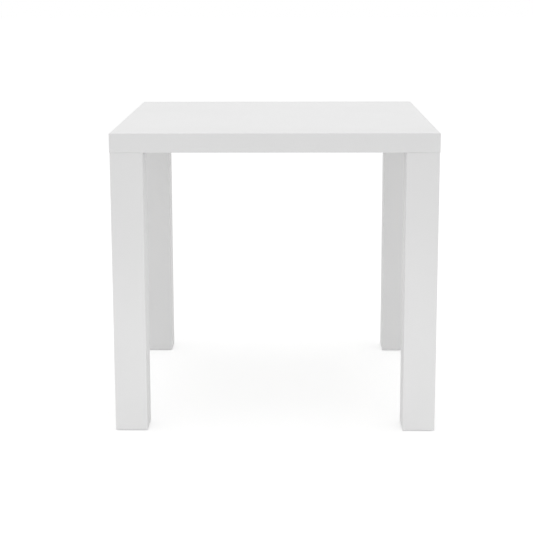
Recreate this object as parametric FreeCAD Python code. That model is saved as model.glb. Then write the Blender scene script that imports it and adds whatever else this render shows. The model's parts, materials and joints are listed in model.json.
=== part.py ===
"""A square dining table in white lacquer: a hollow-core top carried by four mitred box legs.

Each leg holds a steel bracket: a square tube bonded into the leg's bore, welded to a plate. The plate lies
flush in a pocket of the underside and is bolted up into captive nuts, so that the table packs flat.
Millimetres, +Z up, -Y towards the front, with the origin on the floor below the middle of the top.
"""

import FreeCAD
import Part

import math
import os

# Overall sizes
TABLE_SIDE = 800.0
TABLE_HEIGHT = 750.0
TOP_THICKNESS = 47.0
LEG_SIDE = 80.0
LEG_REVEAL = 1.0
ARRIS_RADIUS = 1.5

# Hollow-core top
TOP_SKIN_THICKNESS = 9.0
RAIL_WIDTH = 40.0
RIB_THICKNESS = 15.0
RIBS_EACH_WAY = 4
LOWER_CHAMFER = 1.0
LAP_CLEARANCE = 0.2
BLOCK_MARGIN = 10.0

# Box legs
LEG_WALL = 12.0
LEG_END_CHAMFER = 1.0
FOOT_BLOCK_LENGTH = 45.0

# Leg brackets; the plate is as thick as the lower skin that it lies in
PLATE_THICKNESS = 5.0
PLATE_REACH = 36.0
PLATE_INNER_CLIP = 16.0
PLATE_WING_CLIP = 28.0
POCKET_CLEARANCE = 0.5
TUBE_LENGTH = 120.0
TUBE_WALL = 2.5
BOND_GAP = 0.2

# Wide-headed bolts and captive nuts; a rim is what stands out beyond the bolt's own radius
BOLT_DIAMETER = 8.0
BOLT_HEAD_RIM = 4.5
BOLT_HEAD_HEIGHT = 3.2
BOLT_SOCKET_ACROSS = 5.0
BOLT_SOCKET_DEPTH = 2.2
BOLT_TIP_STAND = 3.5
BOLT_HOLE_CLEARANCE = 0.5
BOLT_TO_RAIL = 18.0
NUT_RIM = 2.5
NUT_HEIGHT = 6.5
NUT_POCKET_DEPTH = 18.0
NUT_CLEARANCE = 0.2
THREAD_CLEARANCE = 0.1

# Glides that cap the feet, each with a plug in the foot block
GLIDE_THICKNESS = 5.0
GLIDE_PROUD = 2.0
GLIDE_CHAMFER = 1.0
GLIDE_CLEARANCE = 0.25
PLUG_SIDE = 16.0
PLUG_LENGTH = 20.0
PLUG_CLEARANCE = 0.1

# How far a cutting tool runs past what it cuts
OVERRUN = 5.0

# Heights
UNDERSIDE = TABLE_HEIGHT - TOP_THICKNESS
CORE_LOW = UNDERSIDE + PLATE_THICKNESS
CORE_HIGH = TABLE_HEIGHT - TOP_SKIN_THICKNESS
CORE_MIDDLE = (CORE_LOW + CORE_HIGH) / 2
NUT_SEAT = CORE_HIGH - NUT_POCKET_DEPTH
BOLT_TIP = NUT_SEAT + NUT_HEIGHT + BOLT_TIP_STAND
LEG_LOW = GLIDE_PROUD

# Plan places of the back right corner, the same in X and in Y; the other corners are turned from it
HALF_SIDE = TABLE_SIDE / 2
RAIL_INNER = HALF_SIDE - RAIL_WIDTH
LEG_OUTER = HALF_SIDE - LEG_REVEAL
LEG_INNER = LEG_OUTER - LEG_SIDE
LEG_MIDDLE = (LEG_OUTER + LEG_INNER) / 2
PLATE_OUTER = LEG_OUTER - LEG_WALL
PLATE_INNER = LEG_INNER - PLATE_REACH
BLOCK_INNER = PLATE_INNER - BLOCK_MARGIN
BOLT_LINE = (LEG_INNER + PLATE_INNER) / 2
BOLT_WING = RAIL_INNER - BOLT_TO_RAIL
BOLT_PLACES = [(BOLT_LINE, BOLT_LINE), (BOLT_LINE, BOLT_WING), (BOLT_WING, BOLT_LINE)]

# Half sides and radii that fit one another
HALF_LEG = LEG_SIDE / 2
HALF_BORE = HALF_LEG - LEG_WALL
BOLT_RADIUS = BOLT_DIAMETER / 2
NUT_INRADIUS = BOLT_RADIUS + NUT_RIM

# A clip at 45 degrees grows by this share of what its outline grows by
CLIP_GROWTH_SHARE = 2 - math.sqrt(2)

ORIGIN = FreeCAD.Vector(0, 0, 0)
UP = FreeCAD.Vector(0, 0, 1)
QUARTER_TURN_DEGREES = 90
QUARTERS = range(4)
HEXAGON_CORNERS = 6
CORNERS = ("back_right", "back_left", "front_left", "front_right")
SIDES = ("right", "back", "left", "front")


def square_block(low, high, z_low, z_high):
    """A block whose plan is the square from low to high in both X and Y."""
    return Part.makeBox(high - low, high - low, z_high - z_low, FreeCAD.Vector(low, low, z_low))


def post(half_side, z_low, z_high):
    """A square block about the Z axis."""
    return square_block(-half_side, half_side, z_low, z_high)


def prism(points, z_low, z_high):
    """An upright prism over a polygon of plan points."""
    corners = [FreeCAD.Vector(x, y, z_low) for x, y in points]
    return Part.Face(Part.makePolygon(corners + corners[:1])).extrude(UP * (z_high - z_low))


def hexagon(inradius, z_low, z_high):
    """An upright hexagonal prism about the Z axis, measured to its flats."""
    radius = inradius / math.cos(math.pi / HEXAGON_CORNERS)
    turns = [math.tau * corner / HEXAGON_CORNERS for corner in range(HEXAGON_CORNERS)]
    return prism([(radius * math.cos(turn), radius * math.sin(turn)) for turn in turns], z_low, z_high)


def rod(radius, z_low, z_high):
    """An upright cylinder about the Z axis."""
    return Part.makeCylinder(radius, z_high - z_low, FreeCAD.Vector(0, 0, z_low))


def moved(shape, place):
    """A copy moved from the Z axis to a plan place."""
    return shape.translated(FreeCAD.Vector(*place, 0))


def turned(shape, quarters):
    """A copy turned by quarter turns about the middle of the table."""
    return shape.rotated(ORIGIN, UP, QUARTER_TURN_DEGREES * quarters)


def at_bolts(shape):
    """Copies of a shape on the Z axis at the bolt places of the back right corner."""
    return [moved(shape, place) for place in BOLT_PLACES]


def at_all_corners(shapes):
    """Copies of the back right corner's shapes at every corner."""
    return [turned(shape, quarters) for quarters in QUARTERS for shape in shapes]


def upright_edges(block):
    return [edge for edge in block.Edges if edge.Vertexes[0].Z != edge.Vertexes[-1].Z]


def lower_edges(block):
    middle = block.CenterOfMass.z
    return [edge for edge in block.Edges if all(vertex.Z < middle for vertex in edge.Vertexes)]


def upper_edges(block):
    middle = block.CenterOfMass.z
    return [edge for edge in block.Edges if all(vertex.Z > middle for vertex in edge.Vertexes)]


def mitred_side(square_ring, half_side):
    """The +X side of a square ring about Z, cut along the mitres at its two ends."""
    reach = half_side + OVERRUN
    box = square_ring.BoundBox
    wedge = prism([(0, 0), (reach, -reach), (reach, reach)], box.ZMin, box.ZMax)
    return square_ring.common(wedge).Solids[0]


# Hollow-core top


def slab():
    """The whole top as it looks from outside: arrises rounded to hold lacquer, the lower one chamfered."""
    block = post(HALF_SIDE, UNDERSIDE, TABLE_HEIGHT)
    rounded = block.makeFillet(ARRIS_RADIUS, upright_edges(block) + upper_edges(block))
    return rounded.common(block.makeChamfer(LOWER_CHAMFER, lower_edges(block)))


def layer(z_low, z_high):
    """The part of the top between two heights."""
    return slab().common(post(HALF_SIDE, z_low, z_high)).Solids[0]


def bottom_skin():
    """The lower skin with a pocket right through it for each bracket's plate."""
    pocket = prism(plate_outline(POCKET_CLEARANCE), UNDERSIDE, CORE_LOW)
    return layer(UNDERSIDE, CORE_LOW).cut(at_all_corners([pocket])).Solids[0]


def right_rail():
    """One mitred rail of the edge frame."""
    hollow = post(RAIL_INNER, CORE_LOW, CORE_HIGH)
    return mitred_side(layer(CORE_LOW, CORE_HIGH).cut(hollow), HALF_SIDE)


def corner_block():
    """The block behind the rails, drilled for one corner's bolts, with a pocket above each for its nut."""
    block = square_block(BLOCK_INNER, RAIL_INNER, CORE_LOW, CORE_HIGH)
    holes = at_bolts(rod(BOLT_RADIUS + BOLT_HOLE_CLEARANCE, CORE_LOW, CORE_HIGH))
    pockets = at_bolts(hexagon(NUT_INRADIUS + NUT_CLEARANCE, NUT_SEAT, CORE_HIGH))
    return block.cut(holes + pockets).Solids[0]


def rib_lines():
    """Where the ribs run: the outer ones along the corner blocks, the rest evenly between them."""
    outermost = BLOCK_INNER - RIB_THICKNESS / 2
    pitch = 2 * outermost / (RIBS_EACH_WAY - 1)
    return [pitch * number - outermost for number in range(RIBS_EACH_WAY)]


def rib_block(middle, width, z_low, z_high):
    """A block along X between the rails, centred in Y on middle."""
    corner = FreeCAD.Vector(-RAIL_INNER, middle - width / 2, z_low)
    return Part.makeBox(2 * RAIL_INNER, width, z_high - z_low, corner)


def lapped_rib(middle, z_low, z_high):
    """A rib along X, notched between two heights wherever a crossing rib passes."""
    rib = rib_block(middle, RIB_THICKNESS, CORE_LOW, CORE_HIGH)
    crossing = [rib_block(line, RIB_THICKNESS + LAP_CLEARANCE, z_low, z_high) for line in rib_lines()]
    return rib.cut([turned(notch, 1) for notch in crossing]).Solids[0]


def top_nodes():
    """Every piece of the hollow-core top."""
    nodes = {"top_skin": [layer(CORE_HIGH, TABLE_HEIGHT)], "bottom_skin": [bottom_skin()]}
    rail = right_rail()
    block = corner_block()
    for quarters in QUARTERS:
        nodes[f"{SIDES[quarters]}_rail"] = [turned(rail, quarters)]
        nodes[f"{CORNERS[quarters]}_corner_block"] = [turned(block, quarters)]
    for number, line in enumerate(rib_lines(), start=1):
        nodes[f"core_rib_side_to_side_{number}"] = [lapped_rib(line, CORE_MIDDLE, CORE_HIGH)]
        nodes[f"core_rib_front_to_back_{number}"] = [turned(lapped_rib(-line, CORE_LOW, CORE_MIDDLE), 1)]
    return nodes


# Box legs, each made about the Z axis and then moved to its corner


def right_board():
    """The right-hand board of a leg: arrises rounded, ends chamfered, long edges mitred."""
    block = post(HALF_LEG, LEG_LOW, UNDERSIDE)
    rounded = block.makeFillet(ARRIS_RADIUS, upright_edges(block))
    outside = rounded.common(block.makeChamfer(LEG_END_CHAMFER, lower_edges(block) + upper_edges(block)))
    return mitred_side(outside.cut(post(HALF_BORE, LEG_LOW, UNDERSIDE)), HALF_LEG)


def foot_block():
    """The timber plug in the leg's lower end, with a mortise for the glide's plug."""
    low = GLIDE_THICKNESS
    block = post(HALF_BORE, low, low + FOOT_BLOCK_LENGTH)
    return block.cut(post(PLUG_SIDE / 2 + PLUG_CLEARANCE, low, low + PLUG_LENGTH)).Solids[0]


def glide():
    """A nylon cap that fills the leg's bore below the foot block and stands on the floor."""
    pad = post(HALF_BORE - GLIDE_CLEARANCE, 0, GLIDE_THICKNESS)
    plug = post(PLUG_SIDE / 2, 0, GLIDE_THICKNESS + PLUG_LENGTH)
    return pad.makeChamfer(GLIDE_CHAMFER, lower_edges(pad)).fuse(plug).removeSplitter().Solids[0]


def plate_outline(grow):
    """The plate's plan with each edge moved out by grow: a square clipped at its inner corner and wings."""
    low = PLATE_INNER - grow
    high = PLATE_OUTER + grow
    inner_clip = PLATE_INNER_CLIP + grow * CLIP_GROWTH_SHARE
    wing_clip = PLATE_WING_CLIP + grow * CLIP_GROWTH_SHARE
    return [
        (high, high),
        (low + wing_clip, high),
        (low, high - wing_clip),
        (low, low + inner_clip),
        (low + inner_clip, low),
        (high - wing_clip, low),
        (high, low + wing_clip),
    ]


def leg_bracket():
    """The drilled plate and the square tube welded under it, where they stand at the back right corner."""
    half_tube = HALF_BORE - BOND_GAP
    tube = post(half_tube, UNDERSIDE - TUBE_LENGTH, UNDERSIDE)
    bore = post(half_tube - TUBE_WALL, UNDERSIDE - TUBE_LENGTH, UNDERSIDE)
    stub = moved(tube.cut(bore), (LEG_MIDDLE, LEG_MIDDLE))
    holes = at_bolts(rod(BOLT_RADIUS + BOLT_HOLE_CLEARANCE, UNDERSIDE, CORE_LOW))
    plate = prism(plate_outline(0), UNDERSIDE, CORE_LOW).cut(holes)
    return plate.fuse(stub).removeSplitter().Solids[0]


def leg_nodes():
    """Every piece of the four legs."""
    board = right_board()
    centred_pieces = {"foot_block": foot_block(), "glide": glide()}
    bracket = leg_bracket()
    nodes = {}
    for quarters, corner in enumerate(CORNERS):
        leg_place = (LEG_MIDDLE, LEG_MIDDLE)
        for side in QUARTERS:
            facing = SIDES[(side + quarters) % len(SIDES)]
            placed = moved(turned(board, side), leg_place)
            nodes[f"{corner}_leg_{facing}_board"] = [turned(placed, quarters)]
        for kind, solid in centred_pieces.items():
            nodes[f"{corner}_{kind}"] = [turned(moved(solid, leg_place), quarters)]
        nodes[f"{corner}_leg_bracket"] = [turned(bracket, quarters)]
    return nodes


# Fasteners, each made about the Z axis at its own height


def leg_bolt():
    """A bolt with a wide flat head and a hexagon socket, pointing up through the plate, block and nut."""
    head_low = UNDERSIDE - BOLT_HEAD_HEIGHT
    head = rod(BOLT_RADIUS + BOLT_HEAD_RIM, head_low, UNDERSIDE)
    socket = hexagon(BOLT_SOCKET_ACROSS / 2, head_low, head_low + BOLT_SOCKET_DEPTH)
    return head.fuse(rod(BOLT_RADIUS, UNDERSIDE, BOLT_TIP)).cut(socket).Solids[0]


def captive_nut():
    """The nut that is dropped into the corner block before the upper skin closes it."""
    high = NUT_SEAT + NUT_HEIGHT
    outside = hexagon(NUT_INRADIUS, NUT_SEAT, high)
    return outside.cut(rod(BOLT_RADIUS + THREAD_CLEARANCE, NUT_SEAT, high)).Solids[0]


def fastener_nodes():
    """Each kind of fastener as one group."""
    kinds = {"leg_bolts": leg_bolt(), "captive_nuts": captive_nut()}
    return {name: at_all_corners(at_bolts(solid)) for name, solid in kinds.items()}


def write(name, solids):
    """One file for each named piece or group of like pieces."""
    shape = solids[0] if len(solids) == 1 else Part.makeCompound(solids)
    shape.exportStep(f"parts/{name}.step")


def main():
    os.makedirs("parts", exist_ok=True)
    for name, solids in {**top_nodes(), **leg_nodes(), **fastener_nodes()}.items():
        write(name, solids)


main()
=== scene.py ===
"""The looks of a square dining table: white lacquer, zinc-plated hardware and a plain white studio.

Metres and radians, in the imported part's own frame: +Z up, -Y to the front, the origin on the floor.
"""

import json
import math
from typing import NamedTuple

import bmesh
import bpy
from mathutils import Matrix, Vector


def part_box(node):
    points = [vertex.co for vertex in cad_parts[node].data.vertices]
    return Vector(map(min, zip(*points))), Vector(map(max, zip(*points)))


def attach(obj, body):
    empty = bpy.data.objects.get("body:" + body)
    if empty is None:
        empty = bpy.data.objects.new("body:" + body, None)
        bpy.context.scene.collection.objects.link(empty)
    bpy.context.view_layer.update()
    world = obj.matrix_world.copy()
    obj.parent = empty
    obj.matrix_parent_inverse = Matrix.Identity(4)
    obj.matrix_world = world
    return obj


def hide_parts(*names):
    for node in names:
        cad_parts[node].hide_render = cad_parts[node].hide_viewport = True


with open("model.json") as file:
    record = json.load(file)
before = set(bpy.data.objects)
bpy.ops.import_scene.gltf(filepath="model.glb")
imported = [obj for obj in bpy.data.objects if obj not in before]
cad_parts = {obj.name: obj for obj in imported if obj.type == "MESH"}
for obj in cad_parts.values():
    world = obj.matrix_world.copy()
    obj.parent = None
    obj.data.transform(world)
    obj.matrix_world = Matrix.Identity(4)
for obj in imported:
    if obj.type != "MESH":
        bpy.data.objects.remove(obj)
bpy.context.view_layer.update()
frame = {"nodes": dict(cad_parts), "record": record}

# Edges: lacquered arrises; the slab's lower edge and the ends of legs and glides; sheared sheet
ARRIS_RADIUS = 0.0015
END_RADIUS = 0.001
SHEARED_RADIUS = 0.0004

# Meshes: steps in an arc, its least radius, how near points are joined, and which edges look smooth
ARC_STEPS = 4
SMALLEST_RADIUS = 1e-6
WELD_DISTANCE = 4e-6
SMOOTH_ANGLE = math.radians(35)

# Leg brackets
PLATE_INNER_CLIP = 0.016
PLATE_WING_CLIP = 0.028
PLATE_CORNER_RADIUS = 0.003
POCKET_CLEARANCE = 0.0005
TUBE_WALL = 0.0025
TUBE_CORNER_RADIUS = 0.004
TUBE_END_BEVEL = 0.0006
BOND_GAP = 0.0002
BEAD_RADIUS = 0.003

# Wide-headed bolts and captive nuts
BOLT_RADIUS = 0.004
BOLT_HOLE_RADIUS = 0.0045
BOLT_TO_RAIL = 0.018
BOLT_NECK = 0.0015
HEAD_RADIUS = 0.0085
HEAD_RIM_RADIUS = 0.0012
SOCKET_INRADIUS = 0.0025
SOCKET_DEPTH = 0.0022
SOCKET_LEAD = 0.0004
TIP_LEAD = 0.001
NUT_INRADIUS = 0.0065
NUT_CHAMFER = math.radians(30)
THREAD_PITCH = 0.00125
THREAD_DEPTH = 0.0007
THREAD_CLEARANCE = 0.0001
RINGS_A_TURN = 5
FASTENER_SEGMENTS = 24
HEXAGON_TURN = math.tau / 6

# Glides
GLIDE_CORNER_RADIUS = 0.002
GLIDE_THICKNESS = 0.005
PLUG_SIDE = 0.016

CORNERS = ("back_right", "back_left", "front_left", "front_right")
SIDES = ("right", "back", "left", "front")
SLOTS = {subpart["node"]: subpart["material_slot"] for subpart in frame["record"]["subparts"]}

# Places worked out from the frame, at the back right corner where a piece repeats
skin_low, skin_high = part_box("top_skin")
panel_low, panel_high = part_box("bottom_skin")
rail_low, rail_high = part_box("right_rail")
block_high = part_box("back_right_corner_block")[1]
leg_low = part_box("back_right_leg_left_board")[0]
leg_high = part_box("back_right_leg_right_board")[1]
bore_low, bore_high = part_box("back_right_foot_block")
glide_low, glide_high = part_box("back_right_glide")
bracket_low, bracket_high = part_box("back_right_leg_bracket")
nut_low, nut_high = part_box("captive_nuts")
bolt_low, bolt_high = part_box("leg_bolts")

HALF_SIDE = skin_high.x
UNDERSIDE = panel_low.z
RAIL_INNER = block_high.x
LEG_MIDDLE = (leg_low.x + leg_high.x) / 2
LEG_PLACE = (LEG_MIDDLE, LEG_MIDDLE)
HALF_LEG = (leg_high.x - leg_low.x) / 2
HALF_BORE = (bore_high.x - bore_low.x) / 2
HALF_GLIDE = (glide_high.x - glide_low.x) / 2
HALF_TUBE = HALF_BORE - BOND_GAP
BOLT_LINE = (bracket_low.x + leg_low.x) / 2
BOLT_WING = RAIL_INNER - BOLT_TO_RAIL
BOLT_PLACES = [(BOLT_LINE, BOLT_LINE), (BOLT_LINE, BOLT_WING), (BOLT_WING, BOLT_LINE)]


# Plan outlines


def quarter_turned(point, quarters):
    """A plan point turned by quarter turns about the origin."""
    x, y = point
    for _ in range(quarters % 4):
        x, y = -y, x
    return Vector((x, y))


def at_turn(radius, turn):
    """A plan point at a radius and an angle about the origin."""
    return Vector((radius * math.cos(turn), radius * math.sin(turn)))


def even_steps(end):
    """Values from 0 to an end, one for each point of an arc."""
    return [end * step / ARC_STEPS for step in range(ARC_STEPS + 1)]


def square(half):
    """The corners of a square about the origin, anticlockwise."""
    return [quarter_turned((half, half), quarters) for quarters in range(4)]


def rounded(corners, radius):
    """A convex outline, anticlockwise, with an arc at each corner."""
    radius = max(radius, SMALLEST_RADIUS)
    points = []
    for before, corner, after in zip(corners[-1:] + corners[:-1], corners, corners[1:] + corners[:1]):
        back = (before - corner).normalized()
        ahead = (after - corner).normalized()
        half_angle = back.angle(ahead) / 2
        centre = corner + (back + ahead).normalized() * radius / math.sin(half_angle)
        start = Vector((-back.y, back.x))
        end = Vector((ahead.y, -ahead.x))
        points += [centre + start.slerp(end, share) * radius for share in even_steps(1)]
    return points


def rounded_square(half, radius):
    """A square about the origin, with an arc at each corner."""
    return rounded(square(half), radius)


def mitred_side(half, radius, bore):
    """The +X side of a mitred square frame about the origin, with half an arc at each outer corner."""
    centre = Vector((half - radius, half - radius))
    upper = [centre + at_turn(radius, turn) for turn in even_steps(math.pi / 4)]
    lower = [Vector((x, -y)) for x, y in reversed(upper)]
    return [Vector((bore, -bore)), *lower, *upper, Vector((bore, bore))]


def fastener_turns():
    """The angles of the points round a bolt or a nut."""
    return [math.tau * step / FASTENER_SEGMENTS for step in range(FASTENER_SEGMENTS)]


def circle(radius):
    """A circle about the origin."""
    return [at_turn(radius, turn) for turn in fastener_turns()]


def hexagon(inradius):
    """A hexagon about the origin, with as many points as a circle."""
    points = []
    for turn in fastener_turns():
        from_middle = turn % HEXAGON_TURN - HEXAGON_TURN / 2
        points.append(at_turn(inradius / math.cos(from_middle), turn))
    return points


# When all edges of an outline move out, a clip at 45 degrees grows by this share of the way
CLIP_GROWTH_SHARE = 2 - math.sqrt(2)


def plate_corners(grow):
    """The bracket plate's plan with each edge moved out by grow."""
    low = bracket_low.x - grow
    high = bracket_high.x + grow
    inner_clip = PLATE_INNER_CLIP + grow * CLIP_GROWTH_SHARE
    wing_clip = PLATE_WING_CLIP + grow * CLIP_GROWTH_SHARE
    points = [
        (high, high),
        (low + wing_clip, high),
        (low, high - wing_clip),
        (low, low + inner_clip),
        (low + inner_clip, low),
        (high - wing_clip, low),
        (high, low + wing_clip),
    ]
    return [Vector(point) for point in points]


# Rings of points, from which the meshes are made


def ring(outline, z):
    """A plan outline at a height."""
    return [Vector((x, y, z)) for x, y in outline]


def straight(outline, low, high):
    """The two rings of a piece that has the same plan all the way up."""
    return [ring(outline, low), ring(outline, high)]


def edge_round(radius):
    """Steps round a rounded edge: how far in from the side, and how far off the end."""
    if not radius:
        return [(0, 0)]
    turns = even_steps(math.pi / 2)
    return [(radius * (1 - math.sin(turn)), radius * (1 - math.cos(turn))) for turn in turns]


def upright(section, low, high, low_radius=0, high_radius=0):
    """Rings up a piece whose plan is section(inset), drawn in where its ends are rounded."""
    lower = [ring(section(inset), low + rise) for inset, rise in edge_round(low_radius)]
    upper = [ring(section(inset), high - rise) for inset, rise in edge_round(high_radius)]
    return lower + upper[::-1]


def placed(rings, place):
    """Rings moved in plan."""
    offset = Vector((*place, 0))
    return [[point + offset for point in points] for points in rings]


def turned(rings, quarters):
    """Rings turned by quarter turns about the origin."""
    def turn(point):
        return Vector((*quarter_turned(point.xy, quarters), point.z))

    return [[turn(point) for point in points] for points in rings]


def thread(crest, low, high):
    """Rings up a right-hand thread of a crest radius, which runs out over a turn at either end."""
    count = round((high - low) / THREAD_PITCH * RINGS_A_TURN)
    rings = []
    for step in range(count + 1):
        z = low + (high - low) * step / count
        depth = THREAD_DEPTH * min((z - low) / THREAD_PITCH, (high - z) / THREAD_PITCH, 1)
        climb = math.tau * z / THREAD_PITCH
        outline = [
            at_turn(crest - depth * (1 + math.cos(climb - turn)) / 2, turn)
            for turn in fastener_turns()
        ]
        rings.append(ring(outline, z))
    return rings


# Meshes


def round_pairs(loop):
    """Each item of a loop with the next."""
    return zip(loop, loop[1:] + loop[:1])


def wall(mesh, rings, closed=False):
    """Quads between rings of equally many points; a closed wall joins the last ring to the first."""
    loops = [[mesh.verts.new(point) for point in points] for points in rings]
    neighbours = round_pairs(loops) if closed else zip(loops, loops[1:])
    for low, high in neighbours:
        for (a, b), (d, c) in zip(round_pairs(low), round_pairs(high)):
            mesh.faces.new((a, b, c, d))
    return loops


def filled(mesh, *loops):
    """A flat face inside one loop of points, with the other loops as holes in it."""
    edges = [mesh.edges.get(pair) for loop in loops for pair in round_pairs(loop)]
    bmesh.ops.triangle_fill(mesh, use_beauty=True, edges=edges)


def capped(mesh, rings):
    """A wall with a face over each end."""
    loops = wall(mesh, rings)
    mesh.faces.new(loops[0])
    mesh.faces.new(loops[-1])


def show(mesh, node, *finishes, pick=None):
    """A shown piece that stands for a CAD node; pick(face) says which of its finishes a face has."""
    bmesh.ops.remove_doubles(mesh, verts=mesh.verts, dist=WELD_DISTANCE)
    bmesh.ops.recalc_face_normals(mesh, faces=mesh.faces)
    mesh.normal_update()
    for face in mesh.faces:
        face.smooth = True
        face.material_index = finishes.index(pick(face)) if pick else 0
    data = bpy.data.meshes.new(f"{node}_finish")
    mesh.to_mesh(data)
    mesh.free()
    data.set_sharp_from_angle(angle=SMOOTH_ANGLE)
    for finish in finishes:
        data.materials.append(finish)
    piece = bpy.data.objects.new(data.name, data)
    bpy.context.scene.collection.objects.link(piece)
    piece.modifiers.new("flat faces stay flat", "WEIGHTED_NORMAL").keep_sharp = True
    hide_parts(node)
    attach(piece, "root")


# Material nodes; noises have real sizes, and bumps real heights

NOISE_SPAN = (0.3, 0.7)
CELL_SPAN = (0.1, 0.8)
WHOLE_SPAN = (0, 1)


class Noise(NamedTuple):
    """A noise's size, along X, Y and Z if these differ, and how finely and strongly it breaks up."""
    size: float | tuple
    detail: float = 2.0
    roughness: float = 0.5


def feed(tree, node, inputs):
    """Set a node's inputs, each to a value or to another node's output."""
    for name, value in inputs.items():
        if isinstance(value, bpy.types.NodeSocket):
            tree.links.new(value, node.inputs[name])
        else:
            node.inputs[name].default_value = value


def add(tree, kind, inputs, **settings):
    """A new node of a kind, and its first output."""
    node = tree.nodes.new(f"ShaderNode{kind}")
    for name, value in settings.items():
        setattr(node, name, value)
    feed(tree, node, inputs)
    return node.outputs[0]


def texture(tree, place, noise):
    """A noise at a place, from 0 to 1."""
    sizes = noise.size if isinstance(noise.size, tuple) else (noise.size,) * 3
    scaled = add(tree, "Mapping", {"Vector": place, "Scale": [1 / size for size in sizes]})
    inputs = {"Vector": scaled, "Scale": 1, "Detail": noise.detail, "Roughness": noise.roughness}
    return add(tree, "TexNoise", inputs)


def between(tree, value, low, high, span=NOISE_SPAN):
    """A span of values spread from low to high."""
    start, end = span
    inputs = {"Value": value, "From Min": start, "From Max": end, "To Min": low, "To Max": high}
    return add(tree, "MapRange", inputs)


def tones(tree, value, *colours, span=NOISE_SPAN):
    """A colour for a value, through colours evenly spread over a span of values."""
    ramp = tree.nodes.new("ShaderNodeValToRGB")
    tree.links.new(value, ramp.inputs["Fac"])
    elements = ramp.color_ramp.elements
    while len(elements) < len(colours):
        elements.new(1)
    start, end = span
    for number, colour in enumerate(colours):
        elements[number].position = start + (end - start) * number / (len(colours) - 1)
        elements[number].color = (*colour, 1)
    return ramp.outputs["Color"]


def bump(tree, relief, height, under=None):
    """A normal bumped by a texture of some height, on top of another where one is given."""
    inputs = {"Height": relief, "Distance": height}
    if under:
        inputs["Normal"] = under
    return add(tree, "Bump", inputs)


def material(name, build, **constants):
    """A material whose shader takes constants directly and the rest from build(tree, place)."""
    made = bpy.data.materials.new(name)
    made.use_nodes = True
    tree = made.node_tree
    shader = tree.nodes["Principled BSDF"]
    coordinates = tree.nodes.new("ShaderNodeTexCoord")
    feed(tree, shader, constants)
    feed(tree, shader, build(tree, coordinates.outputs["Object"]))
    return made


# White lacquer

LACQUER_TONES = ((0.855, 0.855, 0.855), (0.87, 0.87, 0.87))
LACQUER_ROUGHNESS = (0.52, 0.6)
LACQUER_IOR = 1.5
CLOUDS = Noise(0.2, detail=3)
WIPES = Noise((0.017, 0.125, 0.125), detail=4)
FLOW = Noise(0.017, detail=1)
FLOW_HEIGHT = 2.5e-5
PEEL = Noise(0.0026)
PEEL_HEIGHT = 1.4e-5


def lacquer(tree, place):
    """Sprayed white lacquer: faint clouds of tone, wipe marks in the gloss, and a fine orange peel."""
    flow = bump(tree, texture(tree, place, FLOW), FLOW_HEIGHT)
    return {
        "Base Color": tones(tree, texture(tree, place, CLOUDS), *LACQUER_TONES),
        "Roughness": between(tree, texture(tree, place, WIPES), *LACQUER_ROUGHNESS),
        "Normal": bump(tree, texture(tree, place, PEEL), PEEL_HEIGHT, under=flow),
    }


# Sealer on the skins

SEALER_TONES = ((0.795, 0.79, 0.772), (0.825, 0.823, 0.808))
SEALER_ROUGHNESS = (0.62, 0.78)
SEALER_IOR = 1.5
PATCHES = Noise(0.14, detail=4)
RAISED_FIBRES = Noise((0.011, 0.0019, 0.011), detail=4, roughness=0.65)
RAISED_FIBRE_HEIGHT = 2.4e-5
STIPPLE = Noise(0.0024)
STIPPLE_HEIGHT = 3.6e-5
OVERSPRAY_WIDTH = 0.03
OVERSPRAY_SPAN = (0.3, 1.0)
OVERSPRAY_LIFT = 0.6


def rim_reach(tree, place):
    """How far out a point lies in plan: the larger of its X and Y, without their signs."""
    split = tree.nodes.new("ShaderNodeSeparateXYZ")
    tree.links.new(place, split.inputs["Vector"])
    across, along = (add(tree, "Math", {0: split.outputs[axis]}, operation="ABSOLUTE") for axis in "XY")
    return add(tree, "Math", {0: across, 1: along}, operation="MAXIMUM")


def sealer(tree, place):
    """Thin matt sealer rolled over fibreboard: stipple, fibres, and lacquer blown over the rim."""
    rim = (HALF_SIDE - OVERSPRAY_WIDTH, HALF_SIDE)
    mist = between(tree, rim_reach(tree, place), 0, OVERSPRAY_LIFT, span=rim)
    patches = add(tree, "Math", {0: texture(tree, place, PATCHES), 1: mist}, operation="ADD")
    fibres = texture(tree, place, RAISED_FIBRES)
    raised = bump(tree, fibres, RAISED_FIBRE_HEIGHT)
    return {
        "Base Color": tones(tree, patches, *SEALER_TONES, LACQUER_TONES[0], span=OVERSPRAY_SPAN),
        "Roughness": between(tree, fibres, *SEALER_ROUGHNESS),
        "Normal": bump(tree, texture(tree, place, STIPPLE), STIPPLE_HEIGHT, under=raised),
    }


# Zinc-plated sheet and fasteners

SHEET_TONES = ((0.66, 0.67, 0.69), (0.56, 0.57, 0.59))
SHEET_ROUGHNESS = (0.3, 0.5)
CRYSTALS_A_METRE = 220
DULL_PATCHES = Noise(0.025, detail=4)
ROLLED_GRAIN = Noise((0.0056, 0.00042, 0.00042), detail=3)
ROLLED_GRAIN_HEIGHT = 1.6e-5
BOLT_TONES = ((0.52, 0.53, 0.55), (0.6, 0.61, 0.63))
BOLT_ROUGHNESS = (0.24, 0.42)
RUBBED_PATCHES = Noise(0.006, detail=3)
FORMING_MARKS = Noise(0.0011, detail=3)
FORMING_MARK_HEIGHT = 1e-5


def zinc_sheet(tree, place):
    """Zinc-plated sheet: small crystals of differing brightness, dull patches and a rolled grain."""
    crystals = add(tree, "TexVoronoi", {"Vector": place, "Scale": CRYSTALS_A_METRE})
    return {
        "Base Color": tones(tree, crystals, *SHEET_TONES, span=CELL_SPAN),
        "Roughness": between(tree, texture(tree, place, DULL_PATCHES), *SHEET_ROUGHNESS),
        "Normal": bump(tree, texture(tree, place, ROLLED_GRAIN), ROLLED_GRAIN_HEIGHT),
    }


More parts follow.
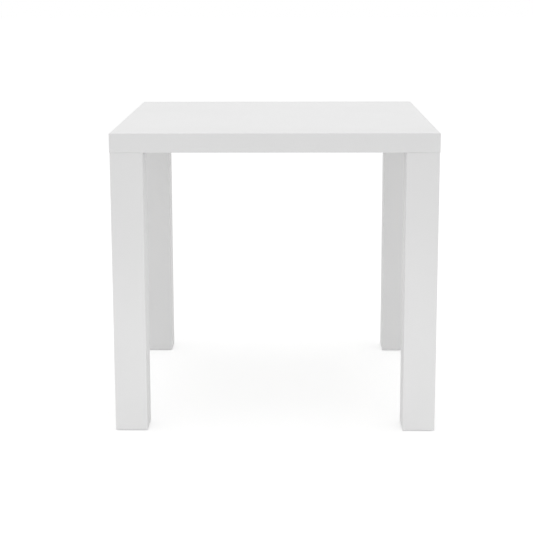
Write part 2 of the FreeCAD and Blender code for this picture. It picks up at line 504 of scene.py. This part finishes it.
def zinc_bolts(tree, place):
    """Bright zinc on formed fasteners: fine forming marks, and duller where a key has rubbed."""
    rubbed = texture(tree, place, RUBBED_PATCHES)
    return {
        "Base Color": tones(tree, rubbed, *BOLT_TONES),
        "Roughness": between(tree, rubbed, *BOLT_ROUGHNESS),
        "Normal": bump(tree, texture(tree, place, FORMING_MARKS), FORMING_MARK_HEIGHT),
    }


# Nylon

NYLON_TONES = ((0.73, 0.73, 0.71), (0.79, 0.79, 0.77))
NYLON_ROUGHNESS = (0.55, 0.42)
NYLON_IOR = 1.53
SCUFFS = Noise((0.012, 0.0022, 0.012), detail=6, roughness=0.7)
MOULD_TEXTURE = Noise(0.0009)
MOULD_TEXTURE_HEIGHT = 1.5e-5


def nylon(tree, place):
    """Moulded nylon: the mould's fine texture, and faint grey scuffs from the floor."""
    scuffs = texture(tree, place, SCUFFS)
    return {
        "Base Color": tones(tree, scuffs, *NYLON_TONES),
        "Roughness": between(tree, scuffs, *NYLON_ROUGHNESS),
        "Normal": bump(tree, texture(tree, place, MOULD_TEXTURE), MOULD_TEXTURE_HEIGHT),
    }


# Softwood and fibreboard inside

TIMBER_TONES = ((0.7, 0.54, 0.35), (0.58, 0.4, 0.22))
TIMBER_ROUGHNESS = (0.6, 0.75)
WOOD_IOR = 1.45
GROWTH_BANDS = Noise((0.17, 0.0095, 0.0095))
WOOD_FIBRES = Noise((0.05, 0.0017, 0.0017), detail=3)
WOOD_FIBRE_HEIGHT = 6e-5
FIBREBOARD_TONES = ((0.45, 0.32, 0.19), (0.57, 0.43, 0.28))
FIBREBOARD_ROUGHNESS = (0.75, 0.9)
PRESSED_FIBRES = Noise((0.0024, 0.0024, 0.0006), detail=5, roughness=0.7)
PRESSED_FIBRE_HEIGHT = 4e-5


def softwood(tree, place):
    """Planed softwood: early and late wood in bands along X, with fine fibres."""
    fibres = texture(tree, place, WOOD_FIBRES)
    return {
        "Base Color": tones(tree, texture(tree, place, GROWTH_BANDS), *TIMBER_TONES),
        "Roughness": between(tree, fibres, *TIMBER_ROUGHNESS),
        "Normal": bump(tree, fibres, WOOD_FIBRE_HEIGHT),
    }


def fibreboard(tree, place):
    """Bare fibreboard: fine pressed fibres, light and dark."""
    fibres = texture(tree, place, PRESSED_FIBRES)
    return {
        "Base Color": tones(tree, fibres, *FIBREBOARD_TONES),
        "Roughness": between(tree, fibres, *FIBREBOARD_ROUGHNESS),
        "Normal": bump(tree, fibres, PRESSED_FIBRE_HEIGHT),
    }


lacquer_finish = material("sprayed_lacquer", lacquer, IOR=LACQUER_IOR)
sealer_finish = material("rolled_sealer", sealer, IOR=SEALER_IOR)
sheet_finish = material("zinc_sheet", zinc_sheet, Metallic=1)
bolt_finish = material("zinc_bolts", zinc_bolts, Metallic=1)
nylon_finish = material("moulded_nylon", nylon, IOR=NYLON_IOR)
timber_finish = material("planed_softwood", softwood, IOR=WOOD_IOR)
fibreboard_finish = material("bare_fibreboard", fibreboard, IOR=WOOD_IOR)


# Finishes face by face: lacquer outside, sealer on the skins' other faces, which keeps them flat

# A face looks a certain way when more than this share of its normal points there
FACING_SHARE = 0.5


def skin_finish(face):
    """The upper skin is sealed below and lacquered elsewhere."""
    return sealer_finish if face.normal.z < -FACING_SHARE else lacquer_finish


def panel_finish(face):
    """The lower skin is lacquered on the slab's edge and sealed elsewhere."""
    middle = face.calc_center_median()
    on_edge = max(abs(middle.x), abs(middle.y)) > HALF_SIDE - END_RADIUS
    return lacquer_finish if on_edge else sealer_finish


def board_finish(quarters, end_finish):
    """A pick for a mitred board that faces +X turned by quarter turns: lacquer outside, bare inside."""
    outward = quarter_turned((1, 0), quarters)

    def finish(face):
        if abs(face.normal.z) > FACING_SHARE:
            return end_finish
        outside = face.normal.xy.dot(outward) > FACING_SHARE
        return lacquer_finish if outside else fibreboard_finish

    return finish


# Top


def slab_section(inset):
    """The slab's plan, drawn in by an inset."""
    return rounded_square(HALF_SIDE - inset, ARRIS_RADIUS - inset)


def finish_upper_skin():
    """The upper skin with its rounded arris."""
    skin = bmesh.new()
    capped(skin, upright(slab_section, skin_low.z, skin_high.z, high_radius=ARRIS_RADIUS))
    show(skin, "top_skin", lacquer_finish, sealer_finish, pick=skin_finish)


def finish_rails():
    """The four mitred edge rails."""
    section = mitred_side(HALF_SIDE, ARRIS_RADIUS, RAIL_INNER)
    rail_rings = straight(section, rail_low.z, rail_high.z)
    for quarters, side in enumerate(SIDES):
        rail = bmesh.new()
        capped(rail, turned(rail_rings, quarters))
        pick = board_finish(quarters, fibreboard_finish)
        show(rail, f"{side}_rail", lacquer_finish, fibreboard_finish, pick=pick)


def finish_lower_skin():
    """The lower skin with a pocket for each bracket's plate."""
    pocket = rounded(plate_corners(POCKET_CLEARANCE), PLATE_CORNER_RADIUS + POCKET_CLEARANCE)
    pocket_rings = straight(pocket, panel_low.z, panel_high.z)
    panel = bmesh.new()
    walls = [wall(panel, upright(slab_section, panel_low.z, panel_high.z, low_radius=END_RADIUS))]
    walls += [wall(panel, turned(pocket_rings, quarters)) for quarters in range(4)]
    filled(panel, *[loops[0] for loops in walls])
    filled(panel, *[loops[-1] for loops in walls])
    show(panel, "bottom_skin", sealer_finish, lacquer_finish, pick=panel_finish)


# Legs


def board_rings():
    """A leg's right-hand board about the Z axis, with rounded arrises and ends."""
    def section(inset):
        return mitred_side(HALF_LEG - inset, ARRIS_RADIUS - inset, HALF_BORE)

    return upright(section, leg_low.z, leg_high.z, END_RADIUS, END_RADIUS)


def glide_rings():
    """A glide about the Z axis: a pad with a rounded lower edge, and the plug above it."""
    def section(inset):
        return rounded_square(HALF_GLIDE - inset, GLIDE_CORNER_RADIUS - inset)

    pad_high = glide_low.z + GLIDE_THICKNESS
    plug = rounded_square(PLUG_SIDE / 2, END_RADIUS)
    pad_rings = upright(section, glide_low.z, pad_high, low_radius=END_RADIUS)
    return pad_rings + straight(plug, pad_high, glide_high.z)


def tube_rings():
    """A tube about the Z axis: down the outside from the plate, up the inside and over the bead."""
    inner = HALF_TUBE - TUBE_WALL
    inner_radius = TUBE_CORNER_RADIUS - TUBE_WALL
    outside = [
        ring(rounded_square(HALF_TUBE - TUBE_END_BEVEL, TUBE_CORNER_RADIUS), UNDERSIDE),
        ring(rounded_square(HALF_TUBE, TUBE_CORNER_RADIUS), UNDERSIDE - TUBE_END_BEVEL),
        ring(rounded_square(HALF_TUBE, TUBE_CORNER_RADIUS), bracket_low.z),
    ]
    inside = [ring(rounded_square(inner, inner_radius), bracket_low.z)]
    bead = [
        ring(rounded_square(inner - BEAD_RADIUS + inset, inner_radius), UNDERSIDE - BEAD_RADIUS + rise)
        for rise, inset in reversed(edge_round(BEAD_RADIUS))
    ]
    return outside + inside + bead


def finish_boards(corner, quarters):
    """A leg's four boards."""
    for turns in range(4):
        board = bmesh.new()
        capped(board, turned(placed(turned(board_rings(), turns), LEG_PLACE), quarters))
        side = SIDES[(turns + quarters) % 4]
        pick = board_finish(turns + quarters, lacquer_finish)
        show(board, f"{corner}_leg_{side}_board", lacquer_finish, fibreboard_finish, pick=pick)


def finish_glide(corner, quarters):
    """A leg's glide."""
    glide = bmesh.new()
    capped(glide, turned(placed(glide_rings(), LEG_PLACE), quarters))
    show(glide, f"{corner}_glide", nylon_finish)


def finish_bracket(corner, quarters):
    """A sheared plate with its bolt holes, and the folded tube welded under it."""
    def section(inset):
        return rounded(plate_corners(-inset), PLATE_CORNER_RADIUS - inset)

    hole_rings = straight(circle(BOLT_HOLE_RADIUS), UNDERSIDE, bracket_high.z)
    plate_rings = upright(section, UNDERSIDE, bracket_high.z, SHEARED_RADIUS, SHEARED_RADIUS)
    bracket = bmesh.new()
    plate = wall(bracket, turned(plate_rings, quarters))
    holes = [wall(bracket, turned(placed(hole_rings, place), quarters)) for place in BOLT_PLACES]
    tube = wall(bracket, turned(placed(tube_rings(), LEG_PLACE), quarters))
    filled(bracket, plate[0], tube[0], *[loops[0] for loops in holes])
    filled(bracket, plate[-1], *[loops[-1] for loops in holes])
    filled(bracket, tube[-1])
    show(bracket, f"{corner}_leg_bracket", sheet_finish)


# Fasteners


def bolt_rings():
    """A bolt from its socket's floor, out over the head and up the threaded shank to its tip."""
    head_rim = [
        ring(circle(HEAD_RADIUS - inset), bolt_low.z + rise)
        for inset, rise in edge_round(HEAD_RIM_RADIUS)
    ]
    return [
        ring(hexagon(SOCKET_INRADIUS), bolt_low.z + SOCKET_DEPTH),
        ring(hexagon(SOCKET_INRADIUS), bolt_low.z + SOCKET_LEAD),
        ring(hexagon(SOCKET_INRADIUS + SOCKET_LEAD), bolt_low.z),
        *head_rim,
        ring(circle(HEAD_RADIUS), UNDERSIDE),
        ring(circle(BOLT_RADIUS), UNDERSIDE),
        *thread(BOLT_RADIUS, UNDERSIDE + BOLT_NECK, bolt_high.z - TIP_LEAD),
        ring(circle(BOLT_RADIUS - TIP_LEAD), bolt_high.z),
    ]


def chamfered_hexagon(face, slope):
    """A nut's six sides, cut back at one face by a cone that just meets the middle of each."""
    outline = hexagon(NUT_INRADIUS)
    return [Vector((*point, face + (point.length - NUT_INRADIUS) * slope)) for point in outline]


def nut_rings():
    """A nut's outside, chamfered at both faces, and its thread on the bolts' own helix."""
    slope = math.tan(NUT_CHAMFER)
    return [
        ring(circle(NUT_INRADIUS), nut_low.z),
        chamfered_hexagon(nut_low.z, slope),
        chamfered_hexagon(nut_high.z, -slope),
        ring(circle(NUT_INRADIUS), nut_high.z),
        *reversed(thread(BOLT_RADIUS + THREAD_CLEARANCE, nut_low.z, nut_high.z)),
    ]


def fastener_places():
    """Where the twelve bolts and their nuts are in plan."""
    return [quarter_turned(place, quarters) for quarters in range(4) for place in BOLT_PLACES]


def finish_bolts():
    """The twelve bolts in one piece."""
    bolts = bmesh.new()
    for place in fastener_places():
        capped(bolts, placed(bolt_rings(), place))
    show(bolts, "leg_bolts", bolt_finish)


def finish_nuts():
    """The twelve nuts in one piece."""
    nuts = bmesh.new()
    for place in fastener_places():
        wall(nuts, placed(nut_rings(), place), closed=True)
    show(nuts, "captive_nuts", bolt_finish)


def finish_hidden_nodes():
    """Timber and fibreboard inside the top and legs, as the CAD has them."""
    finishes = {"block_timber": timber_finish, "raw_mdf": fibreboard_finish}
    for name, node in frame["nodes"].items():
        if SLOTS[name] in finishes:
            for slot in node.material_slots:
                slot.material = finishes[SLOTS[name]]


finish_upper_skin()
finish_rails()
finish_lower_skin()
for quarters, corner in enumerate(CORNERS):
    finish_boards(corner, quarters)
    finish_glide(corner, quarters)
    finish_bracket(corner, quarters)
finish_bolts()
finish_nuts()
finish_hidden_nodes()


# Studio

FLOOR_HALF = 30.0
FLOOR_COLOUR = (0.8, 0.8, 0.8, 1)
FLOOR_LIFT = 0.4
WORLD_COLOUR = (1, 1, 1, 1)
WORLD_AMBIENT = 0.78
WHITE = 1.0
OVERHEAD_PLACE = (0, 0, 3.2)
OVERHEAD_AIM = (0, 0, 0.5)
OVERHEAD_SIZE = (2.5, 2.5)
OVERHEAD_WATTS = 12
BOUNCE_PLACE = (0, -1.2, 0.06)
BOUNCE_AIM = (0, -0.4, 0.06)
BOUNCE_SIZE = (2.0, 0.12)
BOUNCE_WATTS = 1.46


def seen_directly(tree):
    """1 for rays from the camera, a mirror or clear stuff, 0 for the rays that light other surfaces."""
    path = tree.nodes.new("ShaderNodeLightPath")
    seen = path.outputs["Is Camera Ray"]
    for name in ("Is Glossy Ray", "Is Transmission Ray"):
        seen = add(tree, "Math", {0: seen, 1: path.outputs[name]}, operation="MAXIMUM")
    return seen


def floor_paint():
    """White to look at from above, still shaded by the table, and clear from below."""
    paint = bpy.data.materials.new("studio_floor")
    paint.use_nodes = True
    tree = paint.node_tree
    tree.nodes.remove(tree.nodes["Principled BSDF"])
    lift = add(tree, "Math", {0: seen_directly(tree), 1: FLOOR_LIFT}, operation="MULTIPLY")
    matt = add(tree, "BsdfDiffuse", {"Color": FLOOR_COLOUR})
    glow = add(tree, "Emission", {"Strength": lift})
    above = add(tree, "AddShader", {0: matt, 1: glow})
    below = add(tree, "BsdfTransparent", {})
    backfacing = tree.nodes.new("ShaderNodeNewGeometry").outputs["Backfacing"]
    both = add(tree, "MixShader", {"Fac": backfacing, 1: above, 2: below})
    tree.links.new(both, tree.nodes["Material Output"].inputs["Surface"])
    return paint


def white_floor():
    """A floor far larger than the view."""
    mesh = bmesh.new()
    bmesh.ops.create_grid(mesh, x_segments=1, y_segments=1, size=FLOOR_HALF)
    data = bpy.data.meshes.new("studio_floor")
    mesh.to_mesh(data)
    mesh.free()
    data.materials.append(floor_paint())
    floor = bpy.data.objects.new("studio_floor", data)
    bpy.context.scene.collection.objects.link(floor)


def white_world():
    """A white surround to look at, and an even, dimmer light from it on the table."""
    world = bpy.data.worlds.new("studio")
    world.use_nodes = True
    bpy.context.scene.world = world
    tree = world.node_tree
    strength = between(tree, seen_directly(tree), WORLD_AMBIENT, WHITE, span=WHOLE_SPAN)
    feed(tree, tree.nodes["Background"], {"Color": WORLD_COLOUR, "Strength": strength})


def softbox(name, place, aim, size, watts):
    """A flat lamp, out of sight itself, that faces a point."""
    lamp = bpy.data.lights.new(name, "AREA")
    lamp.shape = "RECTANGLE"
    lamp.size, lamp.size_y = size
    lamp.energy = watts
    holder = bpy.data.objects.new(name, lamp)
    holder.location = place
    holder.rotation_euler = (Vector(aim) - Vector(place)).to_track_quat("-Z", "Y").to_euler()
    holder.visible_camera = False
    bpy.context.scene.collection.objects.link(holder)


white_floor()
white_world()
softbox("overhead_softbox", OVERHEAD_PLACE, OVERHEAD_AIM, OVERHEAD_SIZE, OVERHEAD_WATTS)
softbox("floor_bounce", BOUNCE_PLACE, BOUNCE_AIM, BOUNCE_SIZE, BOUNCE_WATTS)


# Camera at the photograph's viewing angle; the picture was cropped, so its middle is off the lens axis

IMAGE_SIDE_PIXELS = 533
FOCAL_PIXELS = 1324.4
CROP_PIXELS = 55
CAMERA_PLACE = (0.0299, -3.5692, 1.1308)
CAMERA_YAW = 0.0156
CAMERA_PITCH = 0.1785
CAMERA_ROLL = -0.0028


def photograph_camera():
    """A camera that stands where the photographer stood, and faces the same way."""
    lens = bpy.data.cameras.new("photograph_camera")
    lens.lens = FOCAL_PIXELS / IMAGE_SIDE_PIXELS * lens.sensor_width
    lens.shift_y = -CROP_PIXELS / IMAGE_SIDE_PIXELS
    camera = bpy.data.objects.new("photograph_camera", lens)
    level = Matrix.Rotation(math.pi / 2, 4, "X")
    aim = Matrix.Rotation(CAMERA_YAW, 4, "Z") @ Matrix.Rotation(-CAMERA_PITCH, 4, "X") @ level
    roll = Matrix.Rotation(CAMERA_ROLL, 4, "Z")
    camera.matrix_world = Matrix.Translation(CAMERA_PLACE) @ aim @ roll
    bpy.context.scene.collection.objects.link(camera)
    bpy.context.scene.camera = camera


photograph_camera()
bpy.context.scene.view_settings.view_transform = "Standard"
